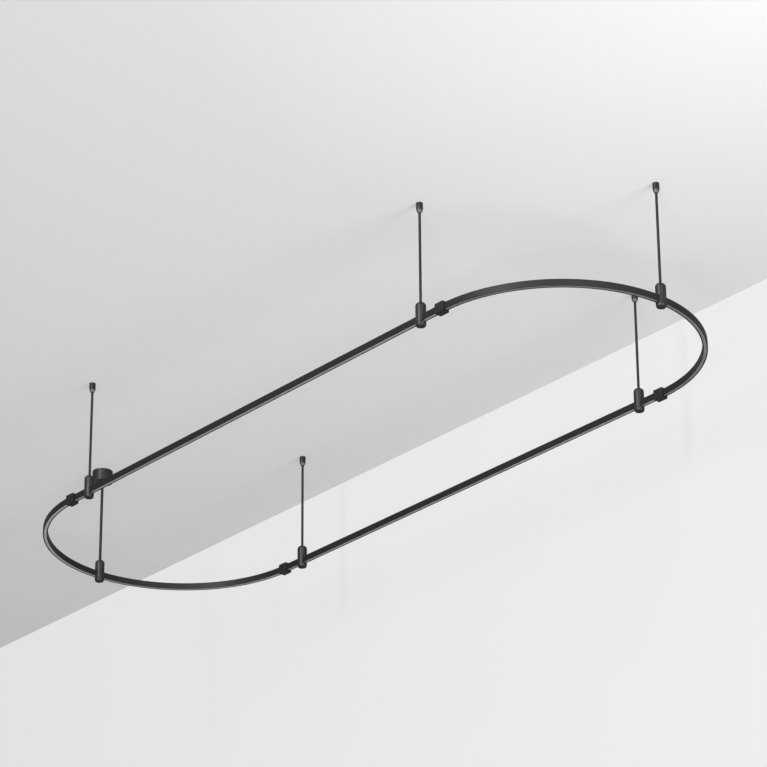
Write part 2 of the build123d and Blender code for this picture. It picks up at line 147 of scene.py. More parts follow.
def pick(kind, test):
    """In edit mode, selects the vertices, edges or faces whose corners all pass the test."""
    bpy.ops.mesh.select_mode(type=kind)
    bpy.ops.mesh.select_all(action="DESELECT")
    mesh = bmesh.from_edit_mesh(bpy.context.object.data)
    if kind == "VERT":
        for corner in mesh.verts:
            corner.select_set(test(corner.co))
    else:
        for item in mesh.edges if kind == "EDGE" else mesh.faces:
            item.select_set(all(test(corner.co) for corner in item.verts))
    mesh.select_flush_mode()
    bmesh.update_edit_mesh(bpy.context.object.data)


def near(value, target):
    return abs(value - target) < 1e-6


def bar(name, low, high):
    """A block between two corners, to be cut or bevelled."""
    begin()
    low, high = Vector(low), Vector(high)
    bpy.ops.mesh.primitive_cube_add(size=1, location=(low + high) / 2)
    bpy.context.object.scale = high - low
    return settle(name)


def turned(name, outline, sides=64, closed=False):
    """A turned piece: a ring at the outline's first radius and height, extruded and scaled ring by ring."""
    begin()
    radius, height = outline[0]
    bpy.ops.mesh.primitive_circle_add(vertices=sides, radius=radius, location=(0, 0, height))
    piece = settle(name)
    bpy.ops.object.mode_set(mode="EDIT")
    bpy.ops.mesh.select_mode(type="EDGE")
    bpy.ops.mesh.select_all(action="SELECT")
    if not closed:
        bpy.ops.mesh.edge_face_add()
        pick("EDGE", lambda p: True)
    for next_radius, next_height in outline[1:]:
        bpy.ops.mesh.extrude_edges_move(TRANSFORM_OT_translate={"value": (0, 0, next_height - height)})
        scale = next_radius / radius
        bpy.ops.transform.resize(value=(scale, scale, 1), center_override=(0, 0, next_height))
        radius, height = next_radius, next_height
    if not closed:
        bpy.ops.mesh.edge_face_add()
    bpy.ops.mesh.select_all(action="SELECT")
    bpy.ops.mesh.remove_doubles(threshold=1e-6)
    bpy.ops.mesh.normals_make_consistent(inside=False)
    bpy.ops.object.mode_set(mode="OBJECT")
    return piece


def arc(centre_radius, centre_height, radius, start, end, steps):
    """Points of a turned piece's outline along an arc, from one angle to another in degrees."""
    angles = [radians(start + (end - start) * step / steps) for step in range(steps + 1)]
    return [(centre_radius + radius * cos(a), centre_height + radius * sin(a)) for a in angles]


def cut(piece, cutter, operation="DIFFERENCE", keep=False):
    """Cuts one piece with another by a boolean, then discards the cutter."""
    take(piece)
    modifier = piece.modifiers.new("cut", "BOOLEAN")
    modifier.solver = "EXACT"
    modifier.operation = operation
    modifier.object = cutter
    bpy.ops.object.modifier_apply(modifier=modifier.name)
    if not keep:
        bpy.data.objects.remove(cutter)
    return piece


def soften(piece, width, segments=2):
    """Rounds the sharp edges, smooths the shading and keeps the flats flat."""
    take(piece)
    if width:
        modifier = piece.modifiers.new("rounding", "BEVEL")
        modifier.width = width
        modifier.segments = segments
        modifier.limit_method = "ANGLE"
        modifier.angle_limit = SHARP
        bpy.ops.object.modifier_apply(modifier=modifier.name)
    bpy.ops.object.shade_smooth_by_angle(angle=SMOOTH)
    modifier = piece.modifiers.new("flats", "WEIGHTED_NORMAL")
    modifier.keep_sharp = True
    bpy.ops.object.modifier_apply(modifier=modifier.name)
    return piece


def join(piece, other):
    take(piece)
    other.select_set(True)
    bpy.ops.object.join()
    return piece


def mark_edges(piece):
    """Marks narrow faces along sharp edges, where a finish wears first, in the attribute edge."""
    mesh = bmesh.new()
    mesh.from_mesh(piece.data)
    edge_faces = []
    for face in mesh.faces:
        longest = max(edge.calc_length() for edge in face.edges)
        sides = [edge for edge in face.edges if edge.is_manifold and edge.calc_length() > 0.5 * longest]
        bends = [edge.calc_face_angle(0) for edge in sides]
        narrow = face.calc_area() / longest < WORN_WIDTH
        edge_faces.append(1.0 if narrow and bends and max(bends) > WORN_BEND else 0.0)
    mesh.free()
    attribute = piece.data.attributes.new("edge", "FLOAT", "FACE")
    attribute.data.foreach_set("value", edge_faces)


def moved(piece, spot, turn=(0, 0, 0)):
    """Turns a piece and puts it in its place, with the place in its mesh."""
    piece.location = spot
    piece.rotation_euler = turn
    take(piece)
    return settle(piece.name)


def copy_of(master, name, spot, turn=0.0):
    """Copies a master, with its own mesh, to its place."""
    take(master)
    bpy.ops.object.duplicate(linked=False)
    bpy.context.object.location = spot
    bpy.context.object.rotation_euler.z = turn
    return settle(name)


def thread_ridge(name, radius, depth, pitch, low, high):
    """A helical ridge on a turned piece: a triangle run round the axis by the Screw modifier."""
    begin()
    turns = int((high - low) / pitch) - 1
    start = low + ((high - low) - turns * pitch) / 2
    bpy.ops.mesh.primitive_circle_add(vertices=3, radius=depth, rotation=(radians(90), 0, 0))
    ridge = settle(name)
    root = radius - 0.2 * depth
    places = [(root, -0.42 * pitch), (radius + depth, 0), (root, 0.42 * pitch)]
    for corner, (across, up) in zip(ridge.data.vertices, places):
        corner.co = (across, 0, start + up)
    modifier = ridge.modifiers.new("thread", "SCREW")
    modifier.axis = "Z"
    modifier.screw_offset = pitch
    modifier.iterations = turns
    modifier.steps = modifier.render_steps = 48
    modifier.use_merge_vertices = True
    modifier.merge_threshold = 1e-6
    bpy.ops.object.modifier_apply(modifier=modifier.name)
    bpy.ops.object.mode_set(mode="EDIT")
    bpy.ops.mesh.select_all(action="SELECT")
    bpy.ops.mesh.fill_holes(sides=4)
    bpy.ops.mesh.select_all(action="SELECT")
    bpy.ops.mesh.normals_make_consistent(inside=False)
    bpy.ops.object.mode_set(mode="OBJECT")
    return ridge


def hex_key(name, flats, low, high):
    """A hexagonal bar, used to cut a key socket."""
    begin()
    bpy.ops.mesh.primitive_cylinder_add(
        vertices=6, radius=flats / sqrt(3), depth=high - low, location=(0, 0, (low + high) / 2)
    )
    return settle(name)


# Rails: a lipped extrusion with a closed chamber above and an open pocket below
def rail_section(name, x, y):
    begin()
    bpy.ops.mesh.primitive_plane_add(size=1, location=(x, y, RAIL_Z), rotation=(0, radians(90), 0))
    bpy.context.object.scale = (RAIL_HEIGHT, RAIL_WIDTH, 1)
    rail = settle(name)
    inner = RAIL_WIDTH / 2 - RAIL_WALL
    chamber_low, chamber_high = POCKET_TOP + RAIL_WALL, RAIL_TOP - RAIL_WALL
    bpy.ops.object.mode_set(mode="EDIT")
    for height in (LIP_TOP, POCKET_TOP, chamber_low, chamber_high):
        bpy.ops.mesh.select_all(action="SELECT")
        bpy.ops.mesh.bisect(plane_co=(x, y, RAIL_Z + height), plane_no=(0, 0, 1))
    for across in (-inner, -MOUTH_HALF, MOUTH_HALF, inner):
        bpy.ops.mesh.select_all(action="SELECT")
        bpy.ops.mesh.bisect(plane_co=(x, y + across, RAIL_Z), plane_no=(0, 1, 0))

    def hollow(half, low, high):
        def inside(p):
            return abs(p.y - y) < half + 1e-6 and low - 1e-6 < p.z - RAIL_Z < high + 1e-6

        pick("FACE", inside)
        bpy.ops.mesh.delete(type="FACE")

    hollow(inner, chamber_low, chamber_high)
    hollow(inner, LIP_TOP, POCKET_TOP)
    hollow(MOUTH_HALF, RAIL_BOTTOM, LIP_TOP)
    pick("VERT", lambda p: near(abs(p.y - y), RAIL_WIDTH / 2) and near(abs(p.z - RAIL_Z), RAIL_TOP))
    bpy.ops.mesh.bevel(offset=RAIL_CORNER, segments=4, profile=0.5, affect="VERTICES")
    pick("VERT", lambda p: near(abs(p.y - y), MOUTH_HALF) and p.z - RAIL_Z < LIP_TOP + 1e-6)
    bpy.ops.mesh.bevel(offset=0.3 * MM, segments=2, profile=0.5, affect="VERTICES")
    bpy.ops.mesh.select_mode(type="FACE")
    bpy.ops.mesh.select_all(action="SELECT")
    return rail


def finish_rail(rail):
    bpy.ops.mesh.select_all(action="SELECT")
    bpy.ops.mesh.remove_doubles(threshold=1e-6)
    bpy.ops.mesh.normals_make_consistent(inside=False)
    bpy.ops.object.mode_set(mode="OBJECT")
    return soften(rail, 0)


def straight_rail(name, side):
    rail = rail_section(name, -RAIL_LENGTH / 2, side * BEND_RADIUS)
    bpy.ops.mesh.extrude_region_move(TRANSFORM_OT_translate={"value": (RAIL_LENGTH, 0, 0)})
    return finish_rail(rail)


def bent_rail(name, end):
    rail = rail_section(name, end * BEND_X, -end * BEND_RADIUS)
    bpy.ops.mesh.spin(steps=180, angle=-pi, center=(end * BEND_X, 0, RAIL_Z), axis=(0, 0, 1))
    return finish_rail(rail)


rails = {
    "rail_front": straight_rail("front_rail", -1),
    "rail_back": straight_rail("back_rail", 1),
    "rail_right": bent_rail("right_bend_rail", 1),
    "rail_left": bent_rail("left_bend_rail", -1),
}


# Connectors: cast sleeves over the rail ends, modelled at the loop's middle
def connector_sleeve(name):
    half = size("connector_sleeve_front_left") / 2
    sleeve = bar(name, -half, half)
    bpy.ops.object.mode_set(mode="EDIT")
    bpy.ops.mesh.select_mode(type="EDGE")
    bpy.ops.mesh.select_all(action="DESELECT")
    mesh = bmesh.from_edit_mesh(sleeve.data)
    for edge in mesh.edges:
        edge.select_set(abs((edge.verts[0].co - edge.verts[1].co).z) > half.z)
    bmesh.update_edit_mesh(sleeve.data)
    bpy.ops.mesh.bevel(offset=1.5 * MM, segments=3, profile=0.5, affect="EDGES")
    bpy.ops.object.mode_set(mode="OBJECT")
    bore_half = RAIL_WIDTH / 2 + 0.54 * MM
    floor = RAIL_BOTTOM - 0.4 * MM
    for end in (-1, 1):
        near_end, far_end = sorted((end * 1.7 * MM, end * (half.x + MM)))
        cut(sleeve, bar("bore", (near_end, -bore_half, floor), (far_end, bore_half, RAIL_TOP)))
    pocket_low = (-17 * MM, -4.6 * MM, floor - 2.4 * MM)
    pocket_high = (17 * MM, 4.6 * MM, floor + 2.2 * MM)
    cut(sleeve, bar("jumper_pocket", pocket_low, pocket_high))
    along = (2 * half.x + 3.4 * MM) / 4
    across = (2 * MOUTH_HALF + RAIL_WIDTH) / 4
    for x in (-along, along):
        for y in (-across, across):
            outline = [(GRUB_HOLE_RADIUS, -half.z - MM), (GRUB_HOLE_RADIUS, floor + MM)]
            cut(sleeve, moved(turned("grub_hole", outline, sides=24), (x, y, 0)))
    return soften(sleeve, 0.5 * MM, segments=3)


# Clamps: a domed body with the rail's slot, and a cup nut that closes it, modelled about the rail's middle
def slot_cutter():
    reach = 2 * CLAMP_RADIUS
    return bar("slot", (-reach, -SLOT_HALF, SKIRT_END - MM), (reach, SLOT_HALF, RAIL_TOP))


def clamp_body(name, rod_radius):
    thread_depth = 0.8 * MM
    root = SKIRT_RADIUS - thread_depth
    well = rod_radius + 0.7 * MM
    well_floor = CLAMP_TOP - 1.6 * MM
    seat = rod_radius + 0.06 * MM
    dome = arc(CLAMP_RADIUS - DOME_RADIUS, CLAMP_TOP - DOME_RADIUS, DOME_RADIUS, 0, 90, 14)
    outline = [(root, SKIRT_END), (root, SEAM_Z)]
    outline += [(CLAMP_RADIUS - SEAM_EDGE, SEAM_Z), (CLAMP_RADIUS, SEAM_Z + SEAM_EDGE)]
    outline += dome
    if dome[-1][0] > well + 0.1 * MM:
        outline += [(well, CLAMP_TOP)]
    outline += [(well, well_floor), (seat, well_floor), (seat, CLAMP_TOP - ROD_SEAT)]
    body = turned(name, outline, sides=96)
    thread_low, thread_high = SKIRT_END + 0.3 * MM, SEAM_Z - 0.4 * MM
    thread = thread_ridge("thread", root, thread_depth, THREAD_PITCH, thread_low, thread_high)
    slot = slot_cutter()
    cut(body, slot, keep=True)
    cut(thread, slot)
    soften(body, 0.3 * MM)
    soften(thread, 0)
    return join(body, thread)


def clamp_nut(name):
    collar = NUT_TOP - NUT_COLLAR
    rise = collar - NUT_BOTTOM
    swell = (rise**2 + NUT_TAPER**2) / (2 * NUT_TAPER)
    lean = -180 / pi * atan2(rise, swell - NUT_TAPER)
    wall = arc(CLAMP_RADIUS - swell, collar, swell, lean, 0, 10)
    bore = SKIRT_RADIUS + 0.15 * MM
    boss_face = NUT_BOTTOM + 0.6 * MM
    boss_radius = 7.5 * MM
    recess_radius = 10.5 * MM
    recess = NUT_BOTTOM + 2.2 * MM
    outline = [(boss_radius, boss_face), (boss_radius, recess)]
    outline += [(recess_radius, recess), (recess_radius, NUT_BOTTOM)]
    outline += wall
    outline += [(CLAMP_RADIUS, NUT_TOP - SEAM_EDGE), (CLAMP_RADIUS - SEAM_EDGE, NUT_TOP)]
    outline += [(bore, NUT_TOP), (bore, NUT_FLOOR)]
    nut = turned(name, outline, sides=96)
    cut(nut, hex_key("key_socket", 5 * MM, boss_face - MM, boss_face + 2.4 * MM))
    return soften(nut, 0.35 * MM, segments=3)


# Ceiling caps, canopy and feed tube, modelled about the ceiling point of their hanger
def ceiling_cap(name):
    """A bullet: straight above, then one long curve in to a thin edge round the rod."""
    hole = ROD_RADIUS + SLIDING_GAP
    shoulder = CAP_BOTTOM + CAP_TAPER
    inside = CAP_RADIUS - SHEET_WALL
    nose = hole + 0.9 * MM
    swell = (CAP_TAPER**2 + (CAP_RADIUS - nose) ** 2) / (2 * (CAP_RADIUS - nose))
    lean = -180 / pi * atan2(CAP_TAPER, swell - CAP_RADIUS + nose)
    outline = [(inside, CAP_TOP), (CAP_RADIUS, CAP_TOP)]
    outline += arc(CAP_RADIUS - swell, shoulder, swell, 0, lean, 16)
    outline += [(hole, CAP_BOTTOM), (hole, CAP_BOTTOM + 2 * MM)]
    lining = arc(CAP_RADIUS - swell, shoulder, swell - SHEET_WALL, lean, 0, 14)
    outline += [point for point in lining if point[0] > hole + 0.1 * MM]
    outline += [(inside, CAP_TOP)]
    cap = turned(name, outline, sides=72, closed=True)
    return soften(cap, 0.25 * MM)


def feed_canopy(name):
    """A round cup with a rounded lower edge, a hole for the tube and two screw holes in its wall."""
    floor, edge = 2.0 * MM, 1.2 * MM
    hole = TUBE_RADIUS + SLIDING_GAP
    inside = CANOPY_RADIUS - SHEET_WALL
    outline = [(inside, CANOPY_TOP), (CANOPY_RADIUS, CANOPY_TOP)]
    outline += arc(CANOPY_RADIUS - edge, CANOPY_BOTTOM + edge, edge, 0, -90, 6)
    outline += [(hole, CANOPY_BOTTOM), (hole, CANOPY_BOTTOM + floor), (inside, CANOPY_BOTTOM + floor)]
    outline += [(inside, CANOPY_TOP)]
    canopy = turned(name, outline, sides=144, closed=True)
    for side in (-1, 1):
        drill = turned("drill", [(GRUB_HOLE_RADIUS, 0), (GRUB_HOLE_RADIUS, 6 * MM)], sides=24)
        start = (0, side * (inside - 2 * MM), CANOPY_SCREW_Z)
        cut(canopy, moved(drill, start, (radians(-90) * side, 0, 0)))
    return soften(canopy, 0.3 * MM)


def canopy_grub_screw(name, side):
    inner = CANOPY_RADIUS - SHEET_WALL - 0.3 * MM
    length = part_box("canopy_screws")[1].y - inner
    screw = turned(name, [(1.1 * MM, 0), (1.5 * MM, 0.4 * MM), (1.5 * MM, length)], sides=24)
    cut(screw, hex_key("key_socket", 1.5 * MM, length - 1.1 * MM, length + MM))
    soften(screw, 0.12 * MM)
    return moved(screw, (middle("canopy").x, side * inner, CANOPY_SCREW_Z), (radians(-90) * side, 0, 0))


def feed_tube(name):
    low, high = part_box("feed_tube")
    bore = TUBE_RADIUS - 1.0 * MM
    thread_end = high.z - 14 * MM
    thread_depth = 0.35 * MM
    root = TUBE_RADIUS - thread_depth
    outline = [(bore, low.z), (TUBE_RADIUS, low.z), (TUBE_RADIUS, thread_end - 0.4 * MM), (root, thread_end)]
    outline += [(root, high.z), (bore, high.z), (bore, low.z)]
    tube = turned(name, outline, sides=64, closed=True)
    soften(tube, 0.2 * MM)
    thread_low, thread_high = thread_end + 0.4 * MM, high.z - 0.5 * MM
    thread = thread_ridge("thread", root, thread_depth, 1.0 * MM, thread_low, thread_high)
    soften(thread, 0)
    return join(tube, thread)


def suspension_rod(name):
    low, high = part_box("suspension_rod_right")
    lead = 0.6 * MM
    outline = [(ROD_RADIUS - lead, low.z), (ROD_RADIUS, low.z + lead)]
    outline += [(ROD_RADIUS, high.z - lead), (ROD_RADIUS - lead, high.z)]
    return soften(turned(name, outline, sides=48), 0.15 * MM)


def lock_nut(name, low, high):
    """A hexagon nut whose corners are turned off at 30 degrees, with a clear hole for the tube."""
    flats = 14 * MM
    corner = flats / sqrt(3)
    lead = (corner - flats / 2) * 0.58
    face = flats / 2 - 0.2 * MM
    outline = [(face, low), (corner, low + lead), (corner, high - lead), (face, high)]
    blank = turned("turned_blank", outline, sides=72)
    nut = hex_key(name, flats, low, high)
    cut(nut, blank, operation="INTERSECT")
    hole = TUBE_RADIUS + 0.06 * MM
    cut(nut, turned("hole", [(hole, low - MM), (hole, high + MM)], sides=48))
    return soften(nut, 0.15 * MM)


def terminal_block(name):
    low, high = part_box("terminal_block")
    block = bar(name, low, high)
    centre = (low + high) / 2
    for side in (-1, 1):
        x = centre.x + side * (high.x - low.x) / 4
        well = turned("well", [(2 * MM, low.z - MM), (2 * MM, low.z + TERMINAL_WELL)], sides=32)
        cut(block, moved(well, (x, centre.y, 0)))
    slit_low = (centre.x - 0.6 * MM, low.y - MM, low.z - MM)
    slit_high = (centre.x + 0.6 * MM, high.y + MM, low.z + 2.2 * MM)
    cut(block, bar("slit", slit_low, slit_high))
    return soften(block, 0.5 * MM, segments=3)


def terminal_screw(name, x):
    low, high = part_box("terminal_block")
    head = low.z + 3.2 * MM
    foot = low.z + TERMINAL_WELL
    screw = turned(name, [(1.2 * MM, foot), (1.7 * MM, foot - 0.1 * MM), (1.7 * MM, head)], sides=32)
    cut(screw, bar("driver_slot", (-2 * MM, -0.25 * MM, head - MM), (2 * MM, 0.25 * MM, head + 0.7 * MM)))
    soften(screw, 0.12 * MM)
    return moved(screw, (x, (low.y + high.y) / 2, 0), (0, 0, radians(32)))


# Materials
def colour(code):
    """A linear colour from an sRGB hex value."""
    parts = [int(code[i : i + 2], 16) / 255 for i in (1, 3, 5)]
    return tuple(c / 12.92 if c <= 0.04045 else ((c + 0.055) / 1.055) ** 2.4 for c in parts) + (1.0,)


def add(material, kind, inputs=(), **settings):
    """Adds a node with its settings; an input takes a value or another node's output socket."""
    tree = material.node_tree
    made = tree.nodes.new(kind)
    for key, value in settings.items():
        setattr(made, key, value)
    for key, value in dict(inputs).items():
        if isinstance(value, bpy.types.NodeSocket):
            tree.links.new(value, made.inputs[key])
        else:
            made.inputs[key].default_value = value
    return made


def coat(name, **constants):
    """A new material whose shader has these constant settings, with its Object coordinates."""
    made = bpy.data.materials.new(name)
    made.use_nodes = True
    shader = made.node_tree.nodes["Principled BSDF"]
    for key, value in constants.items():
        shader.inputs[key.replace("_", " ")].default_value = value
    return made, add(made, "ShaderNodeTexCoord").outputs["Object"]


def wire_up(material, **sockets):
    """Links outputs to the shader's inputs."""
    shader = material.node_tree.nodes["Principled BSDF"]
    for key, socket in sockets.items():
        material.node_tree.links.new(socket, shader.inputs[key.replace("_", " ")])
    return material


def rubbed(material, shade, where, code):
    """Blends a colour towards a worn one in patches along the piece's marked edges."""
    patches = add(material, "ShaderNodeTexNoise", {"Vector": where, "Scale": 1 / (5 * MM), "Detail": 4.0})
    spread = {"Value": patches.outputs["Fac"], "From Min": 0.4, "From Max": 0.65}
    shown = add(material, "ShaderNodeMapRange", spread)
    edge = add(material, "ShaderNodeAttribute", attribute_name="edge")
    both = {0: edge.outputs["Fac"], 1: shown.outputs["Result"]}
    amount = add(material, "ShaderNodeMath", both, operation="MULTIPLY")
    tones = {0: amount.outputs["Value"], 6: shade, 7: colour(code)}
    return add(material, "ShaderNodeMix", tones, data_type="RGBA").outputs[2]


def across_run(material, where, bend):
    """Coordinates across a rail's run: Y and Z on a straight, radius and Z on a bend about its centre."""
    if not bend:
        return where
    centred = add(material, "ShaderNodeMapping", {"Vector": where, "Location": (-bend * BEND_X, 0, 0)})
    in_plan = {0: centred.outputs["Vector"], 1: (1, 1, 0)}
    flat = add(material, "ShaderNodeVectorMath", in_plan, operation="MULTIPLY")
    radius = add(material, "ShaderNodeVectorMath", {0: flat.outputs["Vector"]}, operation="LENGTH")
    height = add(material, "ShaderNodeSeparateXYZ", {"Vector": where})
    line = add(material, "ShaderNodeCombineXYZ", {"Y": radius.outputs["Value"], "Z": height.outputs["Z"]})
    return line.outputs["Vector"]


def painted_nose_highlight(material, shade, where, code):
    """Blends a colour towards a paler one on a ceiling cap's nose, as a painted highlight."""
    height = add(material, "ShaderNodeSeparateXYZ", {"Vector": where})
    highlight_span = {"Value": height.outputs["Z"], "From Min": NOSE_HIGHLIGHT_FULL_Z, "From Max": NOSE_HIGHLIGHT_END_Z, "To Min": 1, "To Max": 0}
    nose = add(material, "ShaderNodeMapRange", highlight_span)
    tones = {0: nose.outputs["Result"], 6: shade, 7: colour(code)}
    return add(material, "ShaderNodeMix", tones, data_type="RGBA").outputs[2]


def powder_coat(name, dark, pale, roughness, specular, nose=None):
    """Black powder coat, baked on: an orange peel about 1.6 mm wide, an uneven satin, paler where edges rub
    and, on a cap, paler on its nose as a painted highlight."""
    made, where = coat(name, Specular_IOR_Level=specular)
    peel = add(made, "ShaderNodeTexNoise", {"Vector": where, "Scale": 1 / (1.6 * MM), "Detail": 2.0})
    cloud = add(made, "ShaderNodeTexNoise", {"Vector": where, "Scale": 1 / (24 * MM), "Detail": 3.0})
    spread = {"Value": cloud.outputs["Fac"], "From Min": 0.3, "From Max": 0.72}
    clouds = add(made, "ShaderNodeMapRange", spread)
    tones = {0: clouds.outputs["Result"], 6: colour(dark), 7: colour(pale)}
    shade = add(made, "ShaderNodeMix", tones, data_type="RGBA")
    sheen = {"Value": cloud.outputs["Fac"], "To Min": roughness - 0.05, "To Max": roughness + 0.05}
    satin = add(made, "ShaderNodeMapRange", sheen)
    relief = {"Height": peel.outputs["Fac"], "Strength": 0.15, "Distance": 0.04 * MM}
    bump = add(made, "ShaderNodeBump", relief)
    tone = painted_nose_highlight(made, shade.outputs[2], where, nose) if nose else shade.outputs[2]
    return wire_up(
        made,
        Base_Color=rubbed(made, tone, where, "#303031"),
        Roughness=satin.outputs["Result"],
        Normal=bump.outputs["Normal"],
    )


def anodised_extrusion(name, bend):
    """Extruded aluminium, satin black anodised: die lines along the run and a soft, even sheen. Real die
    lines are about 0.1 mm apart; here they are drawn 0.8 mm apart so that they show."""
    made, where = coat(name, Specular_IOR_Level=0.23)
    fine = 1 / (0.8 * MM)
    line = add(made, "ShaderNodeMapping", {"Vector": across_run(made, where, bend), "Scale": (2, fine, fine)})
    lines = add(made, "ShaderNodeTexNoise", {"Vector": line.outputs["Vector"], "Scale": 1.0, "Detail": 3.0})
    cloud = add(made, "ShaderNodeTexNoise", {"Vector": where, "Scale": 1 / (60 * MM), "Detail": 3.0})
    spread = {"Value": lines.outputs["Fac"], "From Min": 0.25, "From Max": 0.75}
    streak = add(made, "ShaderNodeMapRange", spread)
    tones = {0: streak.outputs["Result"], 6: colour("#0e0e0f"), 7: colour("#151516")}
    shade = add(made, "ShaderNodeMix", tones, data_type="RGBA")
    satin = add(made, "ShaderNodeMapRange", {"Value": cloud.outputs["Fac"], "To Min": 0.46, "To Max": 0.52})
    relief = {"Height": lines.outputs["Fac"], "Strength": 0.12, "Distance": 0.02 * MM}
    bump = add(made, "ShaderNodeBump", relief)
    return wire_up(
        made,
        Base_Color=rubbed(made, shade.outputs[2], where, "#262627"),
        Roughness=satin.outputs["Result"],
        Normal=bump.outputs["Normal"],
    )


def drawn_copper(name, bend, bright, tarnished):
    """Flat copper strip, drawn: lines along the run and a thin tarnish in clouds of a few cm. Real lines are
    about 0.05 mm apart; here they are drawn 0.625 mm apart so that they show."""
    made, where = coat(name, Metallic=0.6)
    fine = 1 / (0.625 * MM)
    line = add(made, "ShaderNodeMapping", {"Vector": across_run(made, where, bend), "Scale": (3, fine, fine)})
    lines = add(made, "ShaderNodeTexNoise", {"Vector": line.outputs["Vector"], "Scale": 1.0, "Detail": 3.0})
    cloud = add(made, "ShaderNodeTexNoise", {"Vector": where, "Scale": 1 / (35 * MM), "Detail": 4.0})
    spread = {"Value": cloud.outputs["Fac"], "From Min": 0.3, "From Max": 0.75}
    tarnish = add(made, "ShaderNodeMapRange", spread)
    tones = {0: tarnish.outputs["Result"], 6: colour(bright), 7: colour(tarnished)}
    shade = add(made, "ShaderNodeMix", tones, data_type="RGBA")
    satin = add(made, "ShaderNodeMapRange", {"Value": lines.outputs["Fac"], "To Min": 0.36, "To Max": 0.5})
    relief = {"Height": lines.outputs["Fac"], "Strength": 0.15, "Distance": 0.02 * MM}
    bump = add(made, "ShaderNodeBump", relief)
    return wire_up(
        made, Base_Color=shade.outputs[2], Roughness=satin.outputs["Result"], Normal=bump.outputs["Normal"]
    )


def plastic(name, dark, pale, grain_mm, roughness):
    """Moulded or extruded plastic: a matte skin with a fine grain and slight cloudiness."""
    made, where = coat(name, Roughness=roughness)
    grain = add(made, "ShaderNodeTexNoise", {"Vector": where, "Scale": 1 / (grain_mm * MM), "Detail": 3.0})
    cloud = add(made, "ShaderNodeTexNoise", {"Vector": where, "Scale": 1 / (12 * MM), "Detail": 2.0})
    spread = {"Value": cloud.outputs["Fac"], "From Min": 0.3, "From Max": 0.7}
    clouds = add(made, "ShaderNodeMapRange", spread)
    tones = {0: clouds.outputs["Result"], 6: colour(dark), 7: colour(pale)}
    shade = add(made, "ShaderNodeMix", tones, data_type="RGBA")
    relief = {"Height": grain.outputs["Fac"], "Strength": 0.2, "Distance": 0.03 * MM}
    bump = add(made, "ShaderNodeBump", relief)
    return wire_up(made, Base_Color=shade.outputs[2], Normal=bump.outputs["Normal"])


def plated_steel(name, dark, pale, roughness):
    """Plated or turned metal: a spangle of slightly different tones and a fine grain that dulls its shine."""
    made, where = coat(name, Metallic=1.0)
    spangle = add(made, "ShaderNodeTexVoronoi", {"Vector": where, "Scale": 1 / (2.5 * MM)})
    grain = add(made, "ShaderNodeTexNoise", {"Vector": where, "Scale": 1 / (0.6 * MM), "Detail": 3.0})
    tone = add(made, "ShaderNodeSeparateColor", {"Color": spangle.outputs["Color"]})
    tones = {0: tone.outputs["Red"], 6: colour(dark), 7: colour(pale)}
    shade = add(made, "ShaderNodeMix", tones, data_type="RGBA")
    sheen = {"Value": grain.outputs["Fac"], "To Min": roughness - 0.08, "To Max": roughness + 0.08}
    satin = add(made, "ShaderNodeMapRange", sheen)
    relief = {"Height": grain.outputs["Fac"], "Strength": 0.1, "Distance": 0.02 * MM}
    bump = add(made, "ShaderNodeBump", relief)
    return wire_up(
        made, Base_Color=shade.outputs[2], Roughness=satin.outputs["Result"], Normal=bump.outputs["Normal"]
    )


def pvc_insulation(name):
    """PVC on the two feed wires: one brown, one blue, glossy and smooth with faint ripples from extrusion."""
    made, where = coat(name, Roughness=0.38)
    between = -middle("feed_wires").x
    centred = add(made, "ShaderNodeMapping", {"Vector": where, "Location": (between, 0, 0)})
    split = add(made, "ShaderNodeSeparateXYZ", {"Vector": centred.outputs["Vector"]})
    side = add(made, "ShaderNodeMath", {0: split.outputs["X"], 1: 0.0}, operation="GREATER_THAN")
    tones = {0: side.outputs["Value"], 6: colour("#5a3422"), 7: colour("#2b4a78")}
    shade = add(made, "ShaderNodeMix", tones, data_type="RGBA")
    ripples = add(made, "ShaderNodeTexNoise", {"Vector": where, "Scale": 1 / (1.5 * MM), "Detail": 2.0})
    relief = {"Height": ripples.outputs["Fac"], "Strength": 0.1, "Distance": 0.02 * MM}
    bump = add(made, "ShaderNodeBump", relief)
    return wire_up(made, Base_Color=shade.outputs[2], Normal=bump.outputs["Normal"])


clamp_paint = powder_coat("satin_black_powder_coat_on_clamps", "#111112", "#171718", 0.38, 0.38)
# The caps' paler nose colour, #4c4c4d, is a painted highlight
cap_paint = powder_coat("satin_black_powder_coat_on_caps", "#0f0f10", "#141415", 0.31, 0.36, "#4c4c4d")
rod_paint = powder_coat("satin_black_powder_coat_on_rods", "#0f0f10", "#141415", 0.44, 0.24)
canopy_paint = powder_coat("satin_black_powder_coat_on_canopy", "#111112", "#171718", 0.42, 0.35)
casting_paint = powder_coat("satin_black_paint_on_die_castings", "#0f0f10", "#151516", 0.48, 0.27)
anodised = {
    "rail_front": anodised_extrusion("satin_black_anodised_straight_rail", 0),
    "rail_right": anodised_extrusion("satin_black_anodised_right_bend", 1),
    "rail_left": anodised_extrusion("satin_black_anodised_left_bend", -1),
}
anodised["rail_back"] = anodised["rail_front"]
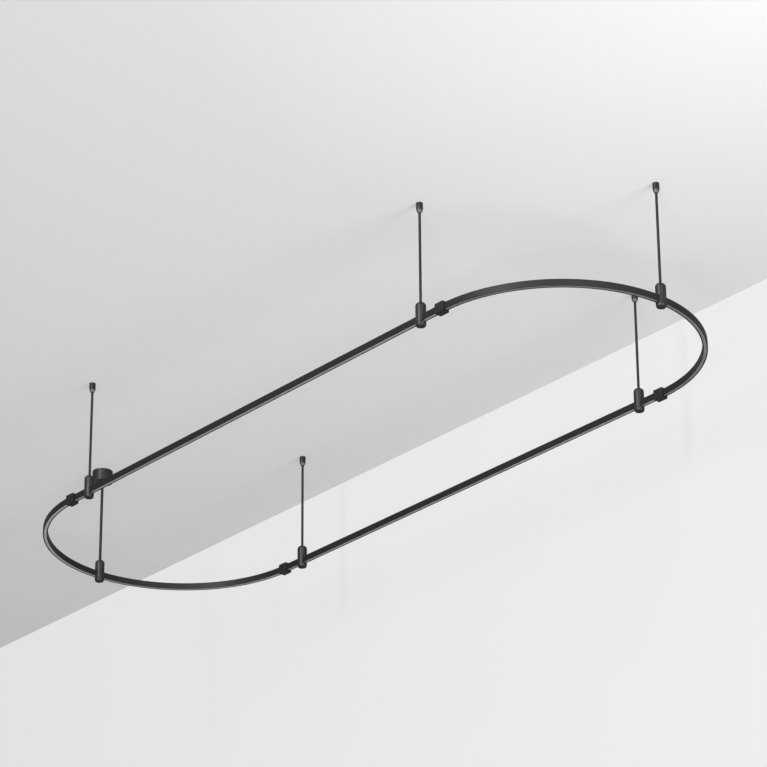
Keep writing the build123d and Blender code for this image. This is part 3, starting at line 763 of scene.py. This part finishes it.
# The bends' strips are lit and shaded copies of the straight one: the right bend's darker tones are painted
# shade and the left bend's paler tones painted light
copper = {
    "front": drawn_copper("drawn_copper_straight_strip", 0, "#dccfc8", "#c8b7ae"),
    "right": drawn_copper("drawn_copper_right_bend_strip_painted_darker", 1, "#ac9f98", "#978982"),
    "left": drawn_copper("drawn_copper_left_bend_strip_painted_paler", -1, "#f0e4de", "#e0d0c8"),
}
copper["back"] = copper["front"]
black_pvc = plastic("extruded_black_pvc_insulator", "#121213", "#19191a", 0.9, 0.62)
black_nylon = plastic("moulded_black_glass_filled_nylon", "#171718", "#202021", 0.7, 0.6)
polyamide = plastic("moulded_cream_polyamide", "#d9d4c4", "#e3dfd1", 0.8, 0.48)
nitrile = plastic("moulded_black_nitrile_rubber", "#111112", "#18181a", 0.5, 0.75)
zinc = plated_steel("zinc_plated_steel", "#9a9da2", "#b9bcc0", 0.38)
black_oxide = plated_steel("black_oxide_steel_screws", "#2a2a2c", "#3a3a3c", 0.42)
brass = plated_steel("machined_brass_terminal_screws", "#b8944f", "#c9a866", 0.3)
pvc_wires = pvc_insulation("extruded_pvc_wire_insulation")


# Every piece in its place, riding on its CAD body
def dress(piece, body, node, material, stands_for_node=True):
    """Gives a piece its material and body, and hides the CAD node that it stands for."""
    mark_edges(piece)
    piece.data.materials.clear()
    piece.data.materials.append(material)
    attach(piece, body)
    if stands_for_node:
        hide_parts(node)


for node, rail in rails.items():
    dress(rail, "frame", node, anodised[node])

sleeve = connector_sleeve("sleeve_master")
for place in CONNECTORS:
    node = f"connector_sleeve_{place}"
    casting = copy_of(sleeve, f"cast_sleeve_{place}", middle(node))
    dress(casting, "frame", node, casting_paint)
bpy.data.objects.remove(sleeve)

rod_clamp = clamp_body("rod_clamp_master", ROD_RADIUS)
feed_clamp = clamp_body("feed_clamp_master", TUBE_RADIUS)
nut = clamp_nut("nut_master")
for place in HANGERS:
    spot = middle(f"clamp_nut_{place}")
    spot.z = RAIL_Z
    turn = radians(90) if place in ("right", "feed") else 0.0
    body = copy_of(feed_clamp if place == "feed" else rod_clamp, f"domed_clamp_{place}", spot, turn)
    dress(body, "frame", f"clamp_body_{place}", clamp_paint)
    cup = copy_of(nut, f"cup_nut_{place}", spot, turn)
    dress(cup, f"nut_{place}", f"clamp_nut_{place}", clamp_paint)
for master in (rod_clamp, feed_clamp, nut):
    bpy.data.objects.remove(master)

cap = ceiling_cap("cap_master")
rod = suspension_rod("rod_master")
for place in ROD_HANGERS:
    spot = middle(f"ceiling_cap_{place}")
    spot.z = 0
    bullet = copy_of(cap, f"bullet_cap_{place}", spot)
    dress(bullet, f"cap_{place}", f"ceiling_cap_{place}", cap_paint)
    hanger_rod = copy_of(rod, f"hanger_rod_{place}", spot)
    dress(hanger_rod, "frame", f"suspension_rod_{place}", rod_paint)
for master in (cap, rod):
    bpy.data.objects.remove(master)

feed_spot = middle("canopy")
feed_spot.z = 0
canopy = feed_canopy("canopy_master")
dress(copy_of(canopy, "feed_canopy", feed_spot), "canopy", "canopy", canopy_paint)
tube = feed_tube("tube_master")
dress(copy_of(tube, "threaded_feed_tube", feed_spot), "frame", "feed_tube", rod_paint)
for master in (canopy, tube):
    bpy.data.objects.remove(master)
for side, word in ((-1, "front"), (1, "back")):
    screw = canopy_grub_screw(f"canopy_grub_screw_{word}", side)
    dress(screw, "canopy", "canopy_screws", black_oxide)
nuts_low, nuts_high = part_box("feed_tube_locknuts")
for word, low in (("lower", nuts_low.z), ("upper", nuts_high.z - LOCK_NUT_HEIGHT)):
    hexagon = lock_nut("lock_nut_master", low, low + LOCK_NUT_HEIGHT)
    tightened = copy_of(hexagon, f"lock_nut_{word}", feed_spot)
    dress(tightened, "frame", "feed_tube_locknuts", zinc)
    bpy.data.objects.remove(hexagon)
dress(terminal_block("feed_terminal_block"), "frame", "terminal_block", polyamide)
for side, word in ((-1, "left"), (1, "right")):
    x = middle("terminal_block").x + side * size("terminal_block").x / 4
    screw = terminal_screw(f"terminal_screw_{word}", x)
    dress(screw, "frame", "terminal_block", brass, stands_for_node=False)

# CAD nodes whose shape is right get their finish
KEPT = {
    "jumper_carriers": black_nylon,
    "jumper_bars": copper["front"],
    "connector_grub_screws": black_oxide,
    "ceiling_anchors": zinc,
    "cap_o_rings": nitrile,
    "canopy_plate": zinc,
    "feed_wires": pvc_wires,
}
for side in ("front", "back", "right", "left"):
    KEPT[f"insulator_{side}"] = black_pvc
    KEPT[f"conductors_{side}"] = copper[side]
for place in HANGERS:
    KEPT[f"clamp_pad_{place}"] = black_nylon
for node, material in KEPT.items():
    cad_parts[node].data.materials.clear()
    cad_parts[node].data.materials.append(material)


# Camera at the photograph's viewing angle, which was fitted to the edges of the loop
LOOP_MIDDLE = Vector((0, 0, RAIL_Z))
CAMERA_AZIMUTH = 48.766
CAMERA_ELEVATION = -25.764
CAMERA_ROLL = -0.00718
CAMERA_RIGHT = 0.0924
CAMERA_UP = 0.22955
CAMERA_BACK = 12.3657


def direction(azimuth, elevation):
    """The way from the loop's middle to a camera or lamp at these degrees round and above it."""
    a, e = radians(azimuth), radians(elevation)
    return Vector((sin(a) * cos(e), -cos(a) * cos(e), sin(e)))


def photo_camera():
    back = direction(CAMERA_AZIMUTH, CAMERA_ELEVATION)
    roll = CAMERA_ROLL
    right = (-back).cross(Vector((0, 0, 1))).normalized()
    up = right.cross(-back)
    right, up = right * cos(roll) + up * sin(roll), up * cos(roll) - right * sin(roll)
    bpy.ops.object.camera_add()
    camera = bpy.context.object
    camera.name = "photo_camera"
    camera.data.lens = 165.19
    camera.data.sensor_width = 36.0
    camera.data.clip_end = 200.0
    placed = Matrix((right, up, back)).transposed().to_4x4()
    placed.translation = LOOP_MIDDLE + CAMERA_RIGHT * right + CAMERA_UP * up + CAMERA_BACK * back
    camera.matrix_world = placed
    bpy.context.scene.camera = camera


# Ceiling, wall, floor, soft light and world
GLOSS_SHARE = 0.3
CEILING_WIDTH = 60.0
CEILING_GAP = 0.4 * MM
# A painted pool of light on the ceiling's right: its spot, its reach in metres and the glow level there
PAINTED_LIGHT_POOL = ((2.6, -0.6), 1.8, 0.5)
WALL_Y = 0.775
WALL_TOP = 8.4
FLOOR_Z = -2.4
FLOOR_WIDTH = 120.0


def looked_at(holder, path):
    """1 for what the camera sees, also through glass, a share of that for what shows in a gloss, so that the
    black finishes stay as dark as in the photograph, and 0 for the light that falls on the object."""
    gloss = {0: path["Is Glossy Ray"], 1: GLOSS_SHARE}
    gloss = add(holder, "ShaderNodeMath", gloss, operation="MULTIPLY")
    seen = {0: path["Is Camera Ray"], 1: path["Is Transmission Ray"]}
    seen = add(holder, "ShaderNodeMath", seen, operation="MAXIMUM")
    both = {0: seen.outputs["Value"], 1: gloss.outputs["Value"]}
    return add(holder, "ShaderNodeMath", both, operation="MAXIMUM").outputs["Value"]


def painted_light_pool(holder, where, spot, reach, pale, glow):
    """A painted pool of light on the ceiling: a glow level that fades from a spot, in metres."""
    in_metres = (CEILING_WIDTH, -CEILING_WIDTH, 0)
    from_spot = (-spot[0], -spot[1], 0)
    apart = {"Vector": where, "Scale": in_metres, "Location": from_spot}
    apart = add(holder, "ShaderNodeMapping", apart)
    distance = add(holder, "ShaderNodeVectorMath", {0: apart.outputs["Vector"]}, operation="LENGTH")
    levels = {"Value": distance.outputs["Value"], "From Max": reach, "To Min": pale, "To Max": glow}
    return add(holder, "ShaderNodeMapRange", levels).outputs["Result"]


def pale_surface(name, code, glow, lets_light_through=False, patch=None):
    """Matte paint on a stage surface, paler to look at than the lamps alone make it; from behind, rays pass
    through it. A patch is a painted pool of light: a spot, its reach and the glow level there."""
    made, where = coat(name, Base_Color=colour(code), Roughness=0.9, Specular_IOR_Level=0.0)
    shader = made.node_tree.nodes["Principled BSDF"]
    shader.inputs["Emission Color"].default_value = (1, 1, 1, 1)
    path = add(made, "ShaderNodeLightPath").outputs
    shown = painted_light_pool(made, where, *patch, glow) if patch else glow
    level = add(made, "ShaderNodeMath", {0: looked_at(made, path), 1: shown}, operation="MULTIPLY")
    wire_up(made, Emission_Strength=level.outputs["Value"])
    hidden = add(made, "ShaderNodeNewGeometry").outputs["Backfacing"]
    if lets_light_through:
        light = {0: path["Is Shadow Ray"], 1: path["Is Diffuse Ray"]}
        light = add(made, "ShaderNodeMath", light, operation="MAXIMUM").outputs["Value"]
        hidden = add(made, "ShaderNodeMath", {0: hidden, 1: light}, operation="MAXIMUM").outputs["Value"]
    clear = add(made, "ShaderNodeBsdfTransparent")
    mixed = add(made, "ShaderNodeMixShader", {0: hidden, 1: shader.outputs["BSDF"], 2: clear.outputs["BSDF"]})
    surface = made.node_tree.nodes["Material Output"].inputs["Surface"]
    made.node_tree.links.new(mixed.outputs["Shader"], surface)
    return made


def stage_plane(name, centre, width, depth, tilt, material):
    begin()
    bpy.ops.mesh.primitive_plane_add(size=1, location=centre, rotation=(radians(tilt), 0, 0))
    plane = bpy.context.object
    plane.name = name
    plane.scale = (width, depth, 1)
    plane.data.materials.append(material)


def soft_lamp(name, azimuth, elevation, distance, width, height, watts):
    """A large soft box that faces the loop's middle from a direction round it, in degrees."""
    back = direction(azimuth, elevation)
    begin()
    bpy.ops.object.light_add(type="AREA", location=LOOP_MIDDLE + back * distance)
    lamp = bpy.context.object
    lamp.name = name
    lamp.rotation_mode = "QUATERNION"
    lamp.rotation_quaternion = (-back).to_track_quat("-Z", "Y")
    lamp.data.shape = "RECTANGLE"
    lamp.data.size = width
    lamp.data.size_y = height
    lamp.data.energy = watts
    lamp.visible_camera = False


photo_camera()
# The ceiling's glow is paler near its right corner, a painted pool of light
ceiling_paint = pale_surface("matte_white_ceiling_paint", "#a6a6a6", 0.345, True, PAINTED_LIGHT_POOL)
wall_paint = pale_surface("matte_white_wall_paint", "#606060", 0.63)
floor_paint = pale_surface("matte_pale_floor", "#1e1e1e", 0.73, lets_light_through=True)
stage_plane("pale_ceiling", (0, 0, CEILING_GAP), CEILING_WIDTH, CEILING_WIDTH, 180, ceiling_paint)
wall_middle = (0, WALL_Y, (WALL_TOP + FLOOR_Z) / 2)
stage_plane("pale_wall", wall_middle, CEILING_WIDTH, WALL_TOP - FLOOR_Z, 90, wall_paint)
stage_plane("pale_floor", (0, 0, FLOOR_Z), FLOOR_WIDTH, FLOOR_WIDTH, 0, floor_paint)
soft_lamp("tall_window_left", -28, 10, 10.0, 1.5, 7.0, 90)
soft_lamp("tall_window_front", 14, 10, 10.0, 1.5, 7.0, 1150)
soft_lamp("tall_window_right", 62, 10, 10.0, 1.5, 7.0, 700)
soft_lamp("tall_window_side", 92, 10, 10.0, 1.5, 7.0, 420)
soft_lamp("side_lamp", 85, -33, 7.0, 2.2, 2.2, 290)
soft_lamp("low_soft_box", 44, -28, 8.0, 1.0, 1.0, 170)
soft_lamp("light_from_floor", 243, -78, 3.2, 4.0, 3.0, 36)

world = bpy.data.worlds.new("pale_room")
bpy.context.scene.world = world
world.use_nodes = True
room = world.node_tree.nodes["Background"]
room.inputs["Color"].default_value = (1, 1, 1, 1)
shown = looked_at(world, add(world, "ShaderNodeLightPath").outputs)
level = add(world, "ShaderNodeMapRange", {"Value": shown, "To Min": 0.1, "To Max": 0.9})
world.node_tree.links.new(level.outputs["Result"], room.inputs["Strength"])
bpy.context.scene.view_settings.view_transform = "Standard"
